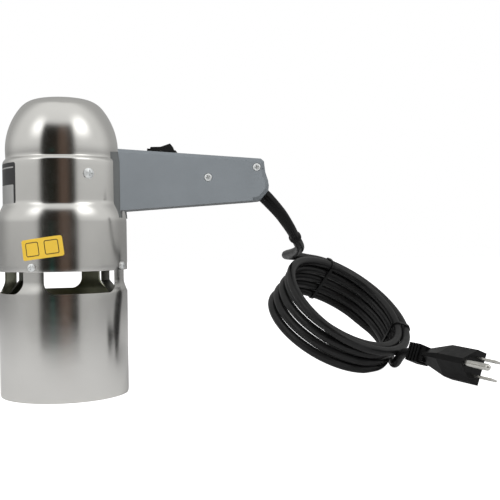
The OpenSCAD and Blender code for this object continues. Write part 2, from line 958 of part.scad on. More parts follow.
// The lead's and the tail's ends run straight for one diameter into what they meet
coil_head = coil_world(coil_stub_a);
coil_head_dir = unit(coil_turned(coil_inner[0] - coil_inner[1]));
coil_foot = coil_world(coil_stub_b);
coil_foot_dir = unit(coil_turned(coil_inner[coil_n] - coil_inner[coil_n - 1]));
relief_dir = unit(relief_end - relief_path[len(relief_path) - 2]);
plug_dir = [cos(plug_turn[1]) * cos(plug_turn[2]), cos(plug_turn[1]) * sin(plug_turn[2]), -sin(plug_turn[1])];
plug_up = [
    cos(plug_turn[0]) * sin(plug_turn[1]) * cos(plug_turn[2]) + sin(plug_turn[0]) * sin(plug_turn[2]),
    cos(plug_turn[0]) * sin(plug_turn[1]) * sin(plug_turn[2]) - sin(plug_turn[0]) * cos(plug_turn[2]),
    cos(plug_turn[0]) * cos(plug_turn[1])
];
plug_rear = plug_at - grip_to * plug_dir + cord_entry * plug_up;
lead_path = concat(
    [relief_end, relief_end + cord_d * relief_dir],
    lead_points,
    [coil_head + cord_d * coil_head_dir, coil_head]
);
tail_path = concat(
    [coil_foot, coil_foot + cord_d * coil_foot_dir],
    tail_points,
    [plug_rear - cord_d * plug_dir, plug_rear]
);

function path_length(p) = len(p) < 2 ? 0 : sum([for (i = [1:len(p) - 1]) norm(p[i] - p[i - 1])], 0);
function sum(v, i) = i == len(v) ? 0 : v[i] + sum(v, i + 1);
echo(lead = path_length(lead_path), coil = path_length(coil_path), tail = path_length(tail_path));
echo(head = coil_head, head_dir = coil_head_dir, foot = coil_foot, foot_dir = coil_foot_dir);
echo(plug_rear = plug_rear, plug_dir = plug_dir);
echo(coil_low = min([for (p = coil_path) coil_world(p)[2]]) - cord_d / 2);

module cord_lead() {
    color(black)
        tube(lead_path, [for (p = lead_path) cord_d / 2], cord_sides);
}

module cord_coil() {
    color(black)
        translate(coil_at)
            rotate([0, coil_lean, coil_face])
                tube(coil_path, [for (p = coil_path) cord_d / 2], coil_sides);
}

module cord_tail() {
    color(black)
        tube(tail_path, [for (p = tail_path) cord_d / 2], cord_sides);
}

// A tie drawn round the bundle of turns, where the coil's angle is deg
module tie_outline(passes, r) {
    hull()
        for (t = passes)
            translate([norm([coil_point(t)[0], coil_point(t)[1]]), coil_point(t)[2]])
                circle(r = r, $fn = 32);
}

module tie(deg) {
    first = (coil_start_deg - deg) / 360;
    passes = [for (k = [0:ceil(coil_turns)]) if (first + k >= 0 && first + k <= coil_turns) first + k];
    rotate([0, 0, deg + 90])
        rotate([90, 0, 0])
            translate([0, 0, -tie_w / 2])
                difference() {
                    linear_extrude(tie_w)
                        tie_outline(passes, cord_d / 2 + tie_room + tie_t);
                    translate([0, 0, -1])
                        linear_extrude(tie_w + 2)
                            tie_outline(passes, cord_d / 2 + tie_room);
                }
}

module cord_ties() {
    color(black)
        translate(coil_at)
            rotate([0, coil_lean, coil_face]) {
                for (deg = tie_degs)
                    tie(deg);
            }
}

// Plug

module in_plug() {
    translate(plug_at)
        rotate(plug_turn)
            children();
}

module plug_outline(s) {
    polygon([
        for (p = [
            [-plug_half, plug_back], [plug_half, plug_back], [plug_half, plug_side],
            [plug_peak_half, plug_peak], [-plug_peak_half, plug_peak], [-plug_half, plug_side]
        ]) [p[0] * s[0], grip_mid + (p[1] - grip_mid) * s[1]]
    ]);
}

// Turns a drawing of the plug's face to stand across the blades
module across(x) {
    translate([x, 0, 0])
        rotate([90, 0, 90])
            children();
}

module plug_body() {
    ribs = 4;
    rib_step = (grip_to - grip_from - 2) / ribs;
    color(black)
        in_plug()
            difference() {
                union() {
                    across(-plug_len)
                        linear_extrude(plug_len)
                            plug_outline([1, 1]);
                    hull() {
                        across(-plug_len - eps)
                            linear_extrude(2 * eps)
                                plug_outline([1, 1]);
                        across(-grip_from)
                            linear_extrude(eps)
                                plug_outline([0.5, 0.52]);
                    }
                    translate([-grip_to + 1.5, -grip_y + 1.5, grip_low + 1.5])
                        cube([grip_to - grip_from, 2 * grip_y - 3, grip_high - grip_low - 3]);
                    for (i = [0:ribs - 1])
                        translate([-grip_to + i * rib_step, -grip_y, grip_low])
                            cube([rib_step * 0.62, 2 * grip_y, grip_high - grip_low]);
                }
                for (side = [-1, 1])
                    translate([-8, side * blade_half_gap - blade_thick / 2 - run_gap, -blade_w / 2 - run_gap])
                        cube([9, blade_thick + 2 * run_gap, blade_w + 2 * run_gap]);
                translate([-8, 0, ground_off])
                    rotate([0, 90, 0])
                        cylinder(r = ground_r + run_gap, h = 9);
            }
}

module plug_blades() {
    color("gainsboro")
        in_plug()
            for (side = [-1, 1])
                difference() {
                    translate([-7, side * blade_half_gap - blade_thick / 2, -blade_w / 2])
                        cube([blade_l + 7, blade_thick, blade_w]);
                    translate([blade_l - 4, side * blade_half_gap + 2, 0])
                        rotate([90, 0, 0])
                            cylinder(r = 1.6, h = 4);
                }
}

module plug_ground_pin() {
    color("gainsboro")
        in_plug()
            translate([-7, 0, ground_off])
                rotate([0, 90, 0])
                    union() {
                        cylinder(r = ground_r, h = ground_l + 7 - ground_r);
                        translate([0, 0, ground_l + 7 - ground_r])
                            sphere(r = ground_r);
                    }
}

nozzle_skirt();
skirt_screws();
main_housing();
housing_screws();
dome_cap();
heater_straps();
heat_tube();
mica_liner();
heater_mica();
heater_coil();
thermal_cutout();
shroud_ring();
fan_impeller();
motor_shaft();
shaft_bearings();
motor_bracket();
motor_can();
motor_magnets();
motor_armature();
motor_screws();
handle_saddle();
saddle_screws();
handle_shell_front();
handle_shell_back();
handle_screws();
switch_body();
switch_rocker();
rocker_pin();
terminal_block();
strain_relief();
cord_lead();
cord_coil();
cord_ties();
cord_tail();
plug_body();
plug_blades();
plug_ground_pin();
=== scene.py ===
"""Looks for the embossing heat tool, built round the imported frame.

Camera and materials, the mains cord with its ties and sleeve, the turned metal shells, the saddle, screw
heads and films, then the floor, the room that the metal mirrors, and two lights. Sizes are in millimetres and
angles in degrees, unless a comment says otherwise.
"""
import math

import bmesh
import bpy
from mathutils import Euler, Matrix, Vector


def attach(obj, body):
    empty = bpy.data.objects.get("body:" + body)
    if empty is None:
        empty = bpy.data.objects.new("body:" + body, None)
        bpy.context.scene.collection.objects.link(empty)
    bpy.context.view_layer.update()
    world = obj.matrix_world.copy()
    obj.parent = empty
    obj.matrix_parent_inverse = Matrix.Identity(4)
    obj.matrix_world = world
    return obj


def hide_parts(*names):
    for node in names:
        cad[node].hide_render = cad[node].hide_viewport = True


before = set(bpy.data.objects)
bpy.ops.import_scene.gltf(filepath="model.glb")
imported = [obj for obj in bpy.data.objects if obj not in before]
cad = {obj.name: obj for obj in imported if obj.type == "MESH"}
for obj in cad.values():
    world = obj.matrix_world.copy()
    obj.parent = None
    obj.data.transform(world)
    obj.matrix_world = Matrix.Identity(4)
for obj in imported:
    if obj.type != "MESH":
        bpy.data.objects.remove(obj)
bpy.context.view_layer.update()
MM = 0.001
MICRON = 0.000001
TOOL = "tool"


# Camera, placed in metres; its roll is in radians

CAMERA_AT = (0.1315, -0.5858, 0.1045)
CAMERA_TILT = 89.45
CAMERA_ROLL = -0.01304
tilt = Matrix.Rotation(math.radians(CAMERA_TILT), 3, "X")
camera_data = bpy.data.cameras.new("camera")
camera_data.sensor_width = 36
camera_data.lens = 59.76
camera = bpy.data.objects.new("camera", camera_data)
camera.location = CAMERA_AT
camera.rotation_euler = (tilt @ Matrix.Rotation(CAMERA_ROLL, 3, "Z")).to_euler()
bpy.context.collection.objects.link(camera)
bpy.context.scene.camera = camera


# Materials; depth and speckle are in microns

NOISE_ROUGHNESS = 0.55
SPECKLE_SCALE = 1100
COAT_ROUGHNESS = 0.3


def node_material(name):
    material = bpy.data.materials.new(name)
    material.use_nodes = True
    nodes, links = material.node_tree.nodes, material.node_tree.links
    nodes.clear()
    out = nodes.new("ShaderNodeOutputMaterial")
    shader = nodes.new("ShaderNodeBsdfPrincipled")
    links.new(shader.outputs[0], out.inputs[0])
    return material, nodes, links, shader


def grain(nodes, links, scale, detail=3.0, brush=1):
    """Noise in the object's own space; brush draws it out into fine lines round the axis."""
    coords = nodes.new("ShaderNodeTexCoord")
    mapping = nodes.new("ShaderNodeMapping")
    mapping.inputs["Scale"].default_value = (1, 1, brush)
    noise = nodes.new("ShaderNodeTexNoise")
    noise.inputs["Scale"].default_value = scale
    noise.inputs["Detail"].default_value = detail
    noise.inputs["Roughness"].default_value = NOISE_ROUGHNESS
    links.new(coords.outputs["Object"], mapping.inputs["Vector"])
    links.new(mapping.outputs[0], noise.inputs["Vector"])
    return noise.outputs["Fac"]


def ramp(nodes, links, value, low, high, start=0.35, end=0.65):
    node = nodes.new("ShaderNodeValToRGB")
    node.color_ramp.elements[0].position = start
    node.color_ramp.elements[0].color = (*low, 1)
    node.color_ramp.elements[1].position = end
    node.color_ramp.elements[1].color = (*high, 1)
    links.new(value, node.inputs[0])
    return node.outputs[0]


def spread(nodes, links, value, low, high, start=0.3, end=0.7):
    node = nodes.new("ShaderNodeMapRange")
    node.inputs["From Min"].default_value = start
    node.inputs["From Max"].default_value = end
    node.inputs["To Min"].default_value = low
    node.inputs["To Max"].default_value = high
    links.new(value, node.inputs["Value"])
    return node.outputs[0]


def bump(nodes, links, value, strength, depth, below=None):
    node = nodes.new("ShaderNodeBump")
    node.inputs["Strength"].default_value = strength
    node.inputs["Distance"].default_value = depth * MICRON
    links.new(value, node.inputs["Height"])
    if below is not None:
        links.new(below, node.inputs["Normal"])
    return node.outputs[0]


def tones(color, vary):
    return tuple(c * (1 - vary) for c in color), tuple(min(1, c * (1 + vary)) for c in color)


def plastic(name, color, roughness, vary, scale, depth, strength, blotch=60, coat=0.0, shine=0.5):
    """A moulded surface: soft blotches in colour and gloss over a fine texture."""
    material, nodes, links, shader = node_material(name)
    low, high = tones(color, vary)
    colour = ramp(nodes, links, grain(nodes, links, blotch), low, high)
    gloss = spread(nodes, links, grain(nodes, links, blotch * 3), roughness * 0.85, roughness * 1.15)
    texture = bump(nodes, links, grain(nodes, links, scale, 2), strength, depth)
    links.new(colour, shader.inputs["Base Color"])
    links.new(gloss, shader.inputs["Roughness"])
    links.new(texture, shader.inputs["Normal"])
    shader.inputs["Specular IOR Level"].default_value = shine
    shader.inputs["Coat Weight"].default_value = coat
    shader.inputs["Coat Roughness"].default_value = COAT_ROUGHNESS
    return material


def metal(name, color, roughness, vary, scale, depth, strength, brush=1, smudge=25, metallic=1.0, speckle=2):
    """A worked surface: smudges in colour and gloss, brush lines, and a speckle that softens its mirror."""
    material, nodes, links, shader = node_material(name)
    low, high = tones(color, vary)
    colour = ramp(nodes, links, grain(nodes, links, smudge, 4), low, high)
    gloss = spread(nodes, links, grain(nodes, links, smudge * 1.6, 5), roughness * 0.8, roughness * 1.25)
    brushed = bump(nodes, links, grain(nodes, links, scale, 2, brush), strength, depth)
    speckled = bump(nodes, links, grain(nodes, links, SPECKLE_SCALE, 2), 1, speckle, brushed)
    links.new(colour, shader.inputs["Base Color"])
    links.new(gloss, shader.inputs["Roughness"])
    links.new(speckled, shader.inputs["Normal"])
    shader.inputs["Metallic"].default_value = metallic
    return material


POLISHED = metal("polished_metal", (0.83, 0.82, 0.795), 0.19, vary=0.025, scale=260, depth=4, strength=0.25,
                 brush=14, smudge=18, speckle=8)
SKIRT = metal("skirt_metal", (0.81, 0.8, 0.775), 0.17, vary=0.03, scale=260, depth=5, strength=0.3,
              brush=14, smudge=18, speckle=14)
INNER = metal("inner_metal", (0.5, 0.51, 0.385), 0.38, vary=0.15, scale=300, depth=10, strength=0.3,
              brush=6, smudge=30)
SHEET = metal("sheet_metal", (0.6, 0.6, 0.58), 0.33, vary=0.06, scale=300, depth=10, strength=0.3, brush=8)
DARK_SHEET = metal("heated_sheet", (0.2, 0.2, 0.175), 0.42, vary=0.2, scale=260, depth=10, strength=0.3,
                   brush=5, smudge=40)
ZINC = metal("zinc_screws", (0.86, 0.88, 0.88), 0.3, vary=0.05, scale=500, depth=10, strength=0.2,
             smudge=200, metallic=0.5)
SHAFT = metal("shaft_steel", (0.75, 0.75, 0.77), 0.2, vary=0.03, scale=500, depth=5, strength=0.2, brush=20)
BLADES = metal("plug_blades", (0.78, 0.77, 0.73), 0.22, vary=0.06, scale=400, depth=10, strength=0.2,
               smudge=150)
BRONZE = metal("bearing_bronze", (0.62, 0.45, 0.24), 0.4, vary=0.12, scale=900, depth=20, strength=0.3)
COPPER = metal("copper_windings", (0.75, 0.38, 0.2), 0.35, vary=0.12, scale=300, depth=60, strength=0.6,
               brush=30)
WIRE = metal("heating_wire", (0.36, 0.33, 0.31), 0.45, vary=0.2, scale=700, depth=20, strength=0.3)
SILVER_FILM = metal("silver_film", (0.72, 0.72, 0.71), 0.36, vary=0.03, scale=600, depth=5, strength=0.2,
                    smudge=60)
MAGNET = plastic("magnet", (0.09, 0.095, 0.1), 0.6, vary=0.15, scale=1200, depth=40, strength=0.3)
MICA = plastic("mica", (0.62, 0.55, 0.4), 0.35, vary=0.18, scale=500, depth=30, strength=0.3, blotch=120,
               coat=0.3)
HANDLE = plastic("handle_plastic", (0.205, 0.226, 0.244), 0.47, vary=0.035, scale=1500, depth=30,
                 strength=0.22, blotch=40, shine=0.36)
# The saddle takes a darker copy of the handle's plastic: painted shade, for the saddle in shadow behind the
# handle's edge
SHADED_SADDLE = plastic("saddle_plastic_painted_shade", (0.132, 0.14, 0.14), 0.46, vary=0.05, scale=1500, depth=30, strength=0.22,
                blotch=40)
SWITCH = plastic("switch_plastic", (0.012, 0.012, 0.012), 0.3, vary=0.2, scale=1500, depth=20, strength=0.2,
                 blotch=80)
TIE = plastic("tie_plastic", (0.006, 0.006, 0.006), 0.34, vary=0.2, scale=1200, depth=20, strength=0.2,
              blotch=150, shine=0.35)
CREAM = plastic("terminal_plastic", (0.74, 0.72, 0.66), 0.45, vary=0.05, scale=900, depth=30, strength=0.2)
PVC = plastic("cord_pvc", (0.0075, 0.0075, 0.0078), 0.36, vary=0.18, scale=700, depth=50, strength=0.28,
              blotch=70, shine=0.4)
PLUG = plastic("plug_pvc", (0.0042, 0.0042, 0.0044), 0.42, vary=0.18, scale=900, depth=60, strength=0.35,
               blotch=70, shine=0.2)
YELLOW = plastic("yellow_film", (0.82, 0.53, 0.035), 0.38, vary=0.03, scale=400, depth=10, strength=0.1,
                 coat=0.25)
INK = plastic("ink", (0.03, 0.027, 0.02), 0.45, vary=0.1, scale=600, depth=10, strength=0.1)
BLACK_FILM = plastic("black_film", (0.013, 0.013, 0.014), 0.4, vary=0.12, scale=600, depth=10, strength=0.1,
                     coat=0.2)

NODE_LOOKS = {
    "nozzle_skirt": SKIRT, "skirt_screws": ZINC, "main_housing": POLISHED, "housing_screws": ZINC,
    "dome_cap": POLISHED, "heater_straps": DARK_SHEET, "heat_tube": DARK_SHEET, "mica_liner": MICA,
    "heater_mica": MICA, "heater_coil": WIRE, "thermal_cutout": ZINC, "shroud_ring": SHEET,
    "fan_impeller": SHEET, "motor_shaft": SHAFT, "shaft_bearings": BRONZE, "motor_bracket": SHEET,
    "motor_can": ZINC, "motor_magnets": MAGNET, "motor_armature": COPPER, "motor_screws": ZINC,
    "handle_saddle": SHADED_SADDLE, "saddle_screws": ZINC, "handle_shell_front": HANDLE, "handle_shell_back": HANDLE,
    "handle_screws": ZINC, "switch_body": SWITCH, "switch_rocker": SWITCH, "rocker_pin": SHAFT,
    "terminal_block": CREAM, "strain_relief": PLUG, "cord_lead": PVC, "cord_coil": PVC, "cord_ties": TIE,
    "cord_tail": PVC, "plug_body": PLUG, "plug_blades": BLADES, "plug_ground_pin": BLADES,
}
for name, look in NODE_LOOKS.items():
    slots = cad[name].material_slots
    if not slots:
        raise SystemExit(name + " has no material slot")
    for slot in slots:
        slot.material = look

# The photograph's polished shell shows no mirror image of the handle beside it, nor of what is inside it
HANDLE_NODES = ("handle_shell_front", "handle_shell_back", "saddle_screws", "terminal_block", "switch_body",
                "switch_rocker", "rocker_pin")
for name in HANDLE_NODES:
    cad[name].visible_glossy = False


# Mesh helpers: a mesh is a list of points and a list of faces

WELD = 1e-7  # metres


def mesh_object(name, verts, faces, look):
    """An object in metres with its doubled points welded and its normals outwards."""
    mesh = bpy.data.meshes.new(name)
    mesh.from_pydata([tuple(c * MM for c in v) for v in verts], [], faces)
    bm = bmesh.new()
    bm.from_mesh(mesh)
    bmesh.ops.remove_doubles(bm, verts=bm.verts, dist=WELD)
    bmesh.ops.recalc_face_normals(bm, faces=bm.faces)
    bm.to_mesh(mesh)
    bm.free()
    mesh.materials.append(look)
    obj = bpy.data.objects.new(name, mesh)
    bpy.context.collection.objects.link(obj)
    return obj


def shade(obj, deg):
    """Smooth faces, with a sharp edge wherever two faces turn by deg or more."""
    bm = bmesh.new()
    bm.from_mesh(obj.data)
    limit = math.radians(deg)
    for f in bm.faces:
        f.smooth = True
    for e in bm.edges:
        e.smooth = len(e.link_faces) == 2 and e.calc_face_angle(0) < limit
    bm.to_mesh(obj.data)
    bm.free()


def piece(name, verts, faces, look, deg=40):
    obj = mesh_object(name, verts, faces, look)
    shade(obj, deg)
    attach(obj, TOOL)
    return obj


def merged(meshes):
    verts, faces = [], []
    for more_verts, more_faces in meshes:
        base = len(verts)
        verts += more_verts
        faces += [tuple(i + base for i in face) for face in more_faces]
    return verts, faces


def cut(obj, meshes, deg=40):
    """Cuts the meshes out of obj."""
    cutter = mesh_object("cutter", *merged(meshes), obj.data.materials[0])
    modifier = obj.modifiers.new("cut", "BOOLEAN")
    modifier.object = cutter
    modifier.solver = "EXACT"
    modifier.use_self = False
    bpy.context.view_layer.update()
    done = bpy.data.meshes.new_from_object(obj.evaluated_get(bpy.context.evaluated_depsgraph_get()))
    obj.modifiers.remove(modifier)
    old = obj.data
    obj.data = done
    bpy.data.meshes.remove(old)
    bpy.data.objects.remove(cutter)
    shade(obj, deg)


def lathe(profile, segments=256):
    """A closed profile of (r, z) points turned about Z."""
    n = len(profile)
    turns = [2 * math.pi * k / segments for k in range(segments)]
    verts = [(r * math.sin(a), -r * math.cos(a), z) for a in turns for r, z in profile]
    faces = []
    for k in range(segments):
        here, there = k * n, (k + 1) % segments * n
        faces += [(here + i, here + (i + 1) % n, there + (i + 1) % n, there + i) for i in range(n)]
    return verts, faces


def prism_faces(n):
    """The two ends and the sides between two outlines of n points."""
    faces = [tuple(range(n)), tuple(range(2 * n - 1, n - 1, -1))]
    return faces + [(i, (i + 1) % n, n + (i + 1) % n, n + i) for i in range(n)]


def slab(outline, y0, y1):
    """An outline of (x, z) points pushed along Y."""
    return [(x, y, z) for y in (y0, y1) for x, z in outline], prism_faces(len(outline))


def radial_prism(outline, deg, r0, r1):
    """An outline of (sideways, z) points pushed outwards from r0 to r1 at an angle round the body."""
    sin, cos = math.sin(math.radians(deg)), math.cos(math.radians(deg))
    verts = [(r * sin + s * cos, -r * cos + s * sin, z) for r in (r0, r1) for s, z in outline]
    return verts, prism_faces(len(outline))


def band_faces(n):
    """The faces of a closed band whose n cross-sections have four corners each, two by two."""
    faces = []
    for i in range(n):
        b, c = 4 * i, 4 * ((i + 1) % n)
        faces += [(b, b + 1, c + 1, c), (b + 2, c + 2, c + 3, b + 3)]
        faces += [(b, c, c + 2, b + 2), (b + 1, b + 3, c + 3, c + 1)]
    return faces


def sweep(path, radii, sides, groove):
    """A closed tube along a path; groove(angle) gives the factor on its radius."""
    n = len(path)
    verts = []
    for i, p in enumerate(path):
        along = unit(path[min(i + 1, n - 1)] - path[max(i - 1, 0)])
        u = unit(Vector((0, 1, 0)).cross(along))
        v = along.cross(u)
        for k in range(sides):
            a = 2 * math.pi * k / sides
            r = radii[i] * groove(math.degrees(a))
            verts.append(tuple(p + r * (math.cos(a) * u + math.sin(a) * v)))
    faces = []
    for here in range(0, (n - 1) * sides, sides):
        there = here + sides
        corners = [(k, (k + 1) % sides) for k in range(sides)]
        faces += [(here + k, here + m, there + m, there + k) for k, m in corners]
    faces += [tuple(range(sides))[::-1], tuple((n - 1) * sides + k for k in range(sides))]
    return verts, faces


# Lines and curves

def unit(v):
    return v / v.length


def ease(t):
    """A smooth step from 0 to 1."""
    return t * t * (3 - 2 * t)


def arc(cx, cz, r, a0, a1, n):
    turns = [math.radians(a0 + (a1 - a0) * i / n) for i in range(n + 1)]
    return [(cx + r * math.cos(a), cz + r * math.sin(a)) for a in turns]


def upright(r, z0, z1, n):
    """The points between the ends of an upright line that is in n parts."""
    return [(r, z0 + (z1 - z0) * k / n) for k in range(1, n)]


def bezier(p0, p1, p2, p3, n):
    """A cubic curve in n parts, without its first point."""
    out = []
    for k in range(1, n + 1):
        t = k / n
        q = p0 * (1 - t) ** 3 + p1 * 3 * t * (1 - t) ** 2 + p2 * 3 * t * t * (1 - t) + p3 * t ** 3
        out.append((q.x, q.y))
    return out


def meet(a, ra, b, rb):
    """The point on the right that lies ra from a and rb from b."""
    d = (b - a).length
    along = (ra * ra - rb * rb + d * d) / (2 * d)
    aside = math.sqrt(ra * ra - along * along)
    way = (b - a) / d
    return a + way * along + Vector((-way.y, way.x)) * aside


def bearing(a, b):
    return math.degrees(math.atan2(b.y - a.y, b.x - a.x))


def wall(outer, thick):
    """A closed profile from an open outer line, with its inner line one wall inside."""
    inner = []
    for i, p in enumerate(outer):
        a, b = Vector(outer[max(i - 1, 0)]), Vector(outer[min(i + 1, len(outer) - 1)])
        d = (b - a).normalized()
        inner.append((p[0] - d.y * thick, p[1] + d.x * thick))
    return outer + inner[::-1]


def filled(ring, step):
    """A closed ring of points with more of them, about a step apart in the first two numbers."""
    out = []
    for p, q in zip(ring, ring[1:] + ring[:1]):
        n = max(1, round(math.dist(p[:2], q[:2]) / step))
        out += [tuple(a + (b - a) * j / n for a, b in zip(p, q)) for j in range(n)]
    return out


def side_of(a, b, p):
    return (b[0] - a[0]) * (p[1] - a[1]) - (b[1] - a[1]) * (p[0] - a[0])


def hull(points):
    """The convex ring round points in a plane."""
    def half(ordered):
        chain = []
        for p in ordered:
            while len(chain) > 1 and side_of(chain[-2], chain[-1], p) <= 0:
                chain.pop()
            chain.append(p)
        return chain[:-1]

    ordered = sorted(set(points))
    return half(ordered) + half(ordered[::-1])


def smooth_path(points, step):
    """A centripetal Catmull-Rom curve through the points, in parts of about one step."""
    def between(p, q, start, end, t):
        return p * ((end - t) / (end - start)) + q * ((t - start) / (end - start))

    pts = [Vector(p) for p in points]
    pts = [2 * pts[0] - pts[1]] + pts + [2 * pts[-1] - pts[-2]]
    out = []
    for i in range(1, len(pts) - 2):
        a, b, c, d = pts[i - 1:i + 3]
        knots = [0.0]
        for p, q in ((a, b), (b, c), (c, d)):
            knots.append(knots[-1] + max((q - p).length, 1e-6) ** 0.5)
        k0, k1, k2, k3 = knots
        n = max(1, round((c - b).length / step))
        for j in range(n):
            t = k1 + (k2 - k1) * j / n
            a1 = between(a, b, k0, k1, t)
            a2 = between(b, c, k1, k2, t)
            a3 = between(c, d, k2, k3, t)
            b1 = between(a1, a2, k0, k2, t)
            b2 = between(a2, a3, k1, k3, t)
            out.append(between(b1, b2, k1, k2, t))
    out.append(pts[-2])
    return out


def path_length(path):
    return sum((b - a).length for a, b in zip(path, path[1:]))


# Cord: the route's points are those of part.scad

CORD_D = 6.0
CORD_SEEN = 7.2  # the thickness that the photograph shows
CORD_STEP = 3
RELIEF_AT = Vector((142, 0, 136.9))
RELIEF_STEPS = [
    (-4, 0, 4), (0, 0, 0), (4, 0.6, -4.2), (8, 2.2, -8.6), (11.8, 5, -13), (15, 8.8, -17.4),
    (17.8, 13.4, -21.4), (20.2, 18.8, -25), (22, 24, -28), (22.7, 26, -29.1), (23.4, 28, -30.2)
]
RELIEF = [RELIEF_AT + Vector(s) for s in RELIEF_STEPS]
LEAD = [
    (168.9, 40.5, 100.8), (169, 48.5, 98.8), (168.2, 57, 97.3), (166.8, 66, 96.2), (165.2, 75, 95.3),
    (163.5, 84, 94.6), (162, 93, 94), (161.3, 102.4, 93.4), (162.9, 108.7, 93), (166.1, 114.4, 92.5)
]
TAIL = [
    (241.5, 135.5, 20.4), (244.7, 130.2, 15.8), (246.9, 124.1, 11.4), (248.1, 117.4, 7.7),
    (248.6, 110.1, 5.1), (248.6, 102.4, 3.8), (248.2, 94.7, 3.7), (247.8, 86.9, 4.6),
    (247.5, 79.4, 6.4), (247.6, 72.1, 9.2), (248.2, 65.3, 12.9), (249.9, 58.7, 16.6)
]
PLUG_AT = Vector((290.6, 0, 13.9))
PLUG_TURN = Euler((math.radians(69), math.radians(3), math.radians(-56)), "XYZ").to_matrix()
PLUG_REAR = 58  # the cord ends this far behind the plug's face
PLUG_RISE = 2

# The coil: its first turn starts outside the stack and then climbs onto it
COIL_AT = Vector((202.5, 98, 43))
COIL_LEAN = math.radians(38)
COIL_FACE = math.radians(-42)
COIL_TURN = Matrix.Rotation(COIL_FACE, 3, "Z") @ Matrix.Rotation(COIL_LEAN, 3, "Y")
COIL_R = 50.0
TURNS = 5.22
TURN_STEPS = 24
PITCH = 7.0
START = 84.0
OUT = 7.4  # how far outside the stack the first turn lies
IN_FROM = 0.6  # the part of the first turn after which it moves in
FIRST_LEVEL = -0.3  # in pitches
GROW = 2.5  # how much wider the last turn is
FAN = 1.6  # how much further apart the turns stand at FAN_DEG
FAN_DEG = 124.0


def coil_local(t):
    """The centreline after t turns, round the coil's own axis."""
    a = math.radians(START - 360 * t)
    moved_in = ease(min(1, max(0, (t - IN_FROM) / (1 - IN_FROM))))
    r = COIL_R + OUT * (1 - moved_in) + GROW * max(0, t - 1) / (TURNS - 1)
    level = PITCH * ((1 - moved_in) * FIRST_LEVEL + moved_in * (1 - t) + TURNS / 2 - 0.5)
    level *= 1 + FAN / PITCH * (1 + math.cos(a - math.radians(FAN_DEG))) / 2
    return Vector((-r * math.sin(a), r * math.cos(a), level))


def from_coil(local):
    return COIL_AT + COIL_TURN @ local


steps = round(TURNS * TURN_STEPS)
coil = [from_coil(coil_local(TURNS * i / steps)) for i in range(steps + 1)]
head_dir = unit(coil[0] - coil[1])
foot_dir = unit(coil[-1] - coil[-2])
head = coil[0] + CORD_D * head_dir
foot = coil[-1] + CORD_D * foot_dir
relief_end = RELIEF[-1]
relief_dir = unit(RELIEF[-1] - RELIEF[-2])
plug_dir = PLUG_TURN @ Vector((1, 0, 0))
plug_up = PLUG_TURN @ Vector((0, 0, 1))
plug_rear = PLUG_AT - PLUG_REAR * plug_dir + PLUG_RISE * plug_up
route = [relief_end, relief_end + CORD_D * relief_dir] + [Vector(p) for p in LEAD]
route += [head + CORD_D * head_dir, head] + coil + [foot, foot + CORD_D * foot_dir]
route += [Vector(p) for p in TAIL] + [plug_rear - CORD_D * plug_dir, plug_rear]
fine = smooth_path(route, CORD_STEP)
for q in fine:
    q.z = max(q.z, CORD_SEEN / 2)
length = path_length(fine) * MM

curve = bpy.data.curves.new("mains_cord", "CURVE")
curve.dimensions = "3D"
spline = curve.splines.new("POLY")
spline.points.add(len(fine) - 1)
for point, q in zip(spline.points, fine):
    point.co = (*(q * MM), 1)
curve.bevel_depth = CORD_SEEN / 2 * MM
curve.bevel_resolution = 6
curve.use_fill_caps = True
spline.use_smooth = True
cord = bpy.data.objects.new("mains_cord", curve)
curve.materials.append(PVC)
bpy.context.collection.objects.link(cord)
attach(cord, TOOL)
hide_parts("cord_lead", "cord_coil", "cord_tail")


# Cord ties: flat bands drawn round the bundle

TIE_W = 2.6
TIE_T = 0.9
TIE_ROOM = CORD_SEEN / 2 + 0.15
TIE_CORNERS = 40
TIE_STEP = 1.2


def tie(name, deg):
    first = (START - deg) / 360
    passes = [first + k for k in range(math.ceil(TURNS) + 1) if 0 <= first + k <= TURNS]
    points = []
    for centre in map(coil_local, passes):
        r, z = math.hypot(centre.x, centre.y), centre.z
        for k in range(TIE_CORNERS):
            a = 2 * math.pi * k / TIE_CORNERS
            points.append((r + TIE_ROOM * math.cos(a), z + TIE_ROOM * math.sin(a)))
    ring = filled(hull(points), TIE_STEP)
    a = math.radians(deg)
    radial = Vector((-math.sin(a), math.cos(a), 0))
    along = Vector((math.cos(a), math.sin(a), 0))
    verts = []
    for i, here in enumerate(ring):
        d = (Vector(ring[(i + 1) % len(ring)]) - Vector(ring[i - 1])).normalized()
        outwards = Vector((d.y, -d.x))
        for out in (0, TIE_T):
            r, z = Vector(here) + outwards * out
            for aside in (-TIE_W / 2, TIE_W / 2):
                verts.append(tuple(from_coil(radial * r + Vector((0, 0, z)) + along * aside)))
    return piece(name, verts, band_faces(len(ring)), TIE)


tie_a = tie("cord_tie_a", 60)
tie_b = tie("cord_tie_b", -40)
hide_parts("cord_ties")


# Strain relief: a smooth tapered sleeve with a parting groove on each side and an end collar

SLEEVE_R = 4.9
SLEEVE_TIP_R = 3.55
SLEEVE_PLAIN = 8  # the length before it tapers
SLEEVE_TIP = 3.5  # the taper ends this far before the end
COLLAR_R = 4.6
COLLAR_L = 4.4
COLLAR_EDGE = 0.9
COLLAR_DROP = 0.7
GROOVE_DEPTH = 0.07  # as a share of the radius
GROOVE_DEG = 9
SLEEVE_STEP = 0.9

relief_path = smooth_path(RELIEF, SLEEVE_STEP)
total = path_length(relief_path)
taper = (SLEEVE_R - SLEEVE_TIP_R) / (total - SLEEVE_PLAIN - SLEEVE_TIP)
radii = []
run = 0.0
for i, p in enumerate(relief_path):
    if i:
        run += (p - relief_path[i - 1]).length
    left = total - run
    r = SLEEVE_R - taper * max(0, run - SLEEVE_PLAIN)
    if left < COLLAR_L:
        r = SLEEVE_TIP_R + (COLLAR_R - SLEEVE_TIP_R) * min(1, (COLLAR_L - left) / COLLAR_EDGE)
    if left < COLLAR_EDGE:
        r = COLLAR_R - COLLAR_DROP * (1 - left / COLLAR_EDGE)
    radii.append(r)


